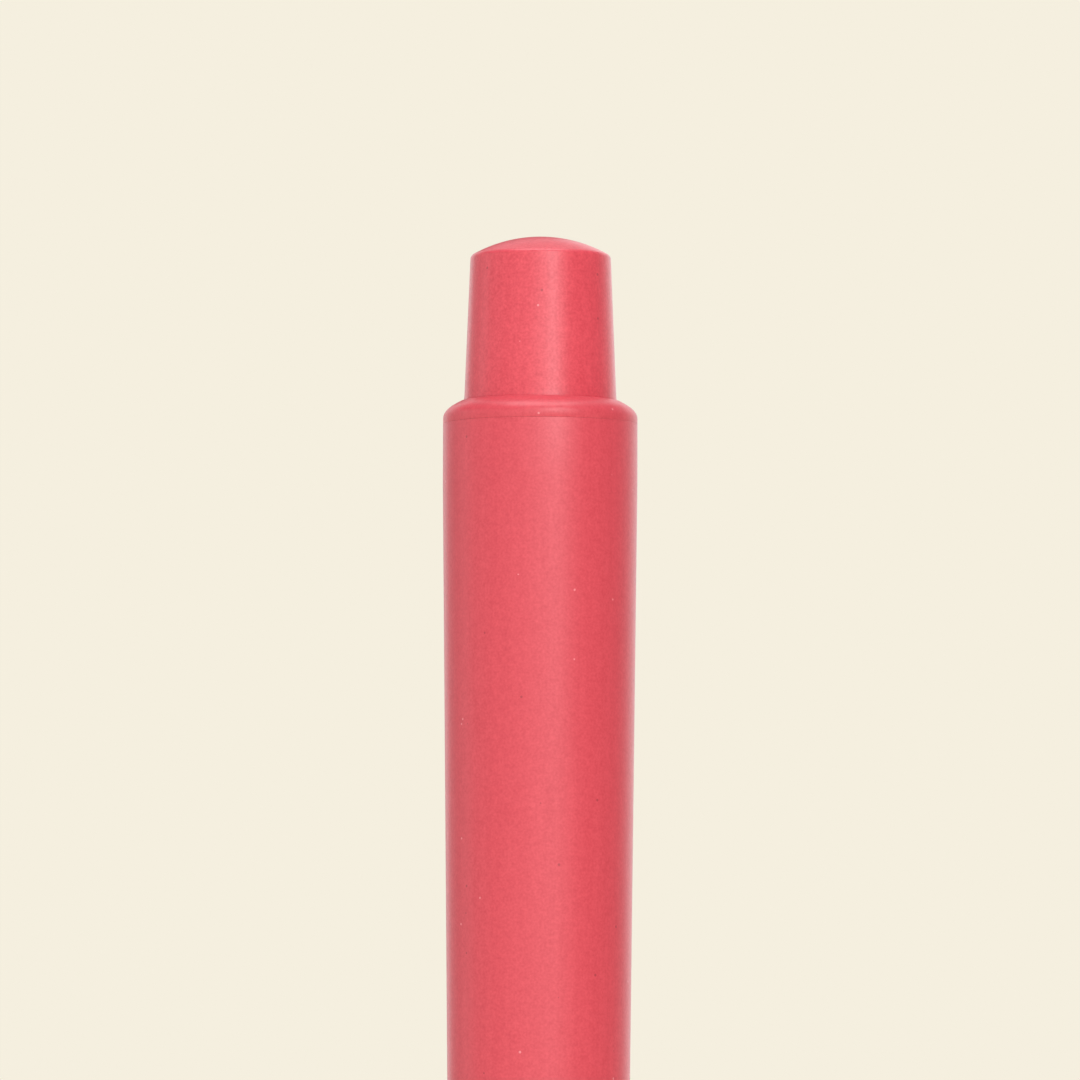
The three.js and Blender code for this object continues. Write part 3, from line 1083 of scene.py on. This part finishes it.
def makeSlidingRing():
    radius, steps = slidingRingShape["radius"], slidingRingShape["steps"]
    low, high = span("sliding_o_ring")
    section, middle = (high - low) / 2, (high + low) / 2
    rings = []
    for step in range(steps):
        angle = 2 * math.pi * step / steps
        rings.append((radius + section * math.cos(angle), middle + section * math.sin(angle)))
    return roundPiece("slidingRing", rings, edge=0)


washerShape = {"inner": 3.65, "outer": 4.95, "edge": 0.1}


def makeSpringWasher():
    section = band(washerShape["inner"], washerShape["outer"], *span("spring_washer"))
    return roundPiece("springWasher", section, edge=washerShape["edge"])


mount(makeBarrel(), "barrel", "barrel", "casing")
mount(makeEndCollar(), "end_collar", "barrel", "casing")
mount(makePushButton(), "push_button", "button", "casing", "button")
mount(makeNoseSection(), "nose_section", "barrel", "casing")
mount(makeCamSleeve(), "cam_sleeve", "barrel", "mechanism")
mount(makeThrustCam(), "thrust_cam", "button", "mechanism")
mount(makeRotor(), "rotor", "rotor", "mechanism")
mount(makeSleeveCap(), "sleeve_cap", "barrel", "mechanism")
mount(makeSealChamber(), "seal_chamber", "barrel", "mechanism")
mount(makeSealClampRing(), "seal_clamp_ring", "barrel", "mechanism")
mount(makeNib(), "nib", "cartridge", "nib_fibre")
mount(makeNibHolder(), "nib_holder", "cartridge", "mechanism")
mount(makeInkCore(), "ink_core", "cartridge", "ink_fibre")
mount(makeCoreFilm(), "core_film", "cartridge", "film")
mount(makeReservoirTube(), "reservoir_tube", "cartridge", "clear_plastic")
mount(makeRearPlug(), "rear_plug", "cartridge", "mechanism")
mount(makeSlidingRing(), "sliding_o_ring", "cartridge", "elastomer")
mount(makeSpringWasher(), "spring_washer", "cartridge", "spring_steel")

spring = makeReturnSpring()
mount(spring, "return_spring", "barrel", "spring_steel")
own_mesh(spring)

mount(makeSealRim(), "slit_seal", "barrel", "elastomer")
for lipName, side in (("sealLipLeft", -1), ("sealLipRight", 1)):
    lip = makeSealLip(lipName, side)
    mount(lip, "slit_seal", "barrel", "elastomer")
    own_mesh(lip)
print("pieces made")


# Floor, lights and camera
studio = {
    "background": (0.913, 0.863, 0.738),
    "ambient": (1.0, 1.0, 1.0),
    "ambientStrength": 0.118,
    "floorLevel": -12.5,
    "floorColours": ((0.93, 0.88, 0.76), (0.91, 0.86, 0.74)),
    "floorMottle": 3,
    "floorFadeStart": 0.3,  # metres from the pen
    "floorFadeEnd": 0.8,
}


def makeFloor():
    start, end = studio["floorFadeStart"], studio["floorFadeEnd"]
    bpy.ops.object.select_all(action="DESELECT")
    bpy.ops.mesh.primitive_plane_add(size=2 * end, location=(0, 0, studio["floorLevel"] * mm))
    floor = bpy.context.object
    floor.name = "floor"
    bpy.ops.object.transform_apply(location=True)
    finish = Finish("pale floor", Specular_IOR_Level=0, Roughness=1)
    mottle = finish.noise(studio["floorMottle"])
    finish.feed(Base_Color=finish.blend(mottle, *studio["floorColours"]))
    distance = finish.node("ShaderNodeVectorMath", {"operation": "LENGTH"}, {0: finish.place}, "Value")
    fade = {"Value": distance, "From Min": start, "From Max": end, "To Min": 1, "To Max": 0}
    finish.feed(Alpha=finish.node("ShaderNodeMapRange", inputs=fade))  # melts into the background
    floor.data.materials.append(finish.material)


def makeWorld():
    world = bpy.data.worlds.new("studio")
    bpy.context.scene.world = world
    world.use_nodes = True
    tree = world.node_tree
    tree.nodes.clear()
    backgrounds = []
    for colour, strength in ((studio["ambient"], studio["ambientStrength"]), (studio["background"], 1)):
        background = tree.nodes.new("ShaderNodeBackground")
        background.inputs["Color"].default_value = (*colour, 1)
        background.inputs["Strength"].default_value = strength
        backgrounds.append(background)
    path = tree.nodes.new("ShaderNodeLightPath")
    mix = tree.nodes.new("ShaderNodeMixShader")
    output = tree.nodes.new("ShaderNodeOutputWorld")
    tree.links.new(path.outputs["Is Camera Ray"], mix.inputs[0])
    tree.links.new(backgrounds[0].outputs[0], mix.inputs[1])
    tree.links.new(backgrounds[1].outputs[0], mix.inputs[2])
    tree.links.new(mix.outputs[0], output.inputs[0])


# Soft panels all round. Azimuth is to the camera's right of straight on, elevation above the
# horizon, both in degrees. Sizes and distances are in metres and powers in watts.
wallPanel = {"elevation": 8, "distance": 1.1, "size": (0.45, 0.9)}
ceilingPanel = {"distance": 1.0, "size": (0.8, 0.8)}
lights = {
    "key": {**wallPanel, "azimuth": 20, "elevation": 24, "power": 3.0, "size": (0.3, 0.8)},
    "keyLeft": {**wallPanel, "azimuth": 5, "elevation": 22, "power": 2.55},
    "keyRight": {**wallPanel, "azimuth": 30, "elevation": 24, "power": 2.1},
    "leftFront": {**wallPanel, "azimuth": -15, "power": 1.22},
    "left": {**wallPanel, "azimuth": -40, "power": 0.88},
    "leftSide": {**wallPanel, "azimuth": -70, "power": 0.8},
    "leftRim": {**wallPanel, "azimuth": -100, "power": 1.3},
    "leftBack": {**wallPanel, "azimuth": -130, "power": 0.65},
    "backLeft": {**wallPanel, "azimuth": -155, "power": 1.55},
    "backRight": {**wallPanel, "azimuth": 165, "power": 1.55},
    "rightBack": {**wallPanel, "azimuth": 145, "power": 1.4},
    "rightRim": {**wallPanel, "azimuth": 125, "power": 0.55},
    "top": {**ceilingPanel, "azimuth": 0, "elevation": 85, "power": 6.7},
    "topBack": {**ceilingPanel, "azimuth": 180, "elevation": 50, "power": 1.15},
}
lightAim = 110  # the panels face this level on the pen's axis


def makeLights():
    target = Vector((0, 0, lightAim * mm))
    for name, lamp in lights.items():
        azimuth, elevation = math.radians(lamp["azimuth"]), math.radians(lamp["elevation"])
        flat = math.cos(elevation)
        towards = Vector((math.sin(azimuth) * flat, -math.cos(azimuth) * flat, math.sin(elevation)))
        data = bpy.data.lights.new(name, "AREA")
        data.shape = "RECTANGLE"
        data.size, data.size_y = lamp["size"]
        data.energy = lamp["power"]
        light = bpy.data.objects.new(name, data)
        bpy.context.scene.collection.objects.link(light)
        light.location = target + towards * lamp["distance"]
        light.rotation_euler = towards.to_track_quat("Z", "Y").to_euler()
        light.visible_camera = False


# A long lens half-way up, which looks slightly upwards. The roll is in degrees, clipEnd in metres.
camera = {
    "height": 71,
    "distance": 686,
    "aim": 118.57,
    "lens": 297.5,
    "sensor": 36,
    "roll": 0.143,
    "clipEnd": 20,
}


def makeCamera():
    data = bpy.data.cameras.new("camera")
    data.lens = camera["lens"]
    data.sensor_width = camera["sensor"]
    data.clip_end = camera["clipEnd"]
    placed = bpy.data.objects.new("camera", data)
    bpy.context.scene.collection.objects.link(placed)
    placed.location = (0, -camera["distance"] * mm, camera["height"] * mm)
    look = Vector((0, 0, camera["aim"] * mm)) - placed.location
    roll = Quaternion((0, 0, 1), math.radians(camera["roll"]))
    placed.rotation_euler = (look.to_track_quat("-Z", "Y") @ roll).to_euler()
    bpy.context.scene.camera = placed
    bpy.context.scene.view_settings.view_transform = "Standard"


makeFloor()
makeWorld()
makeLights()
makeCamera()
print("stage set")
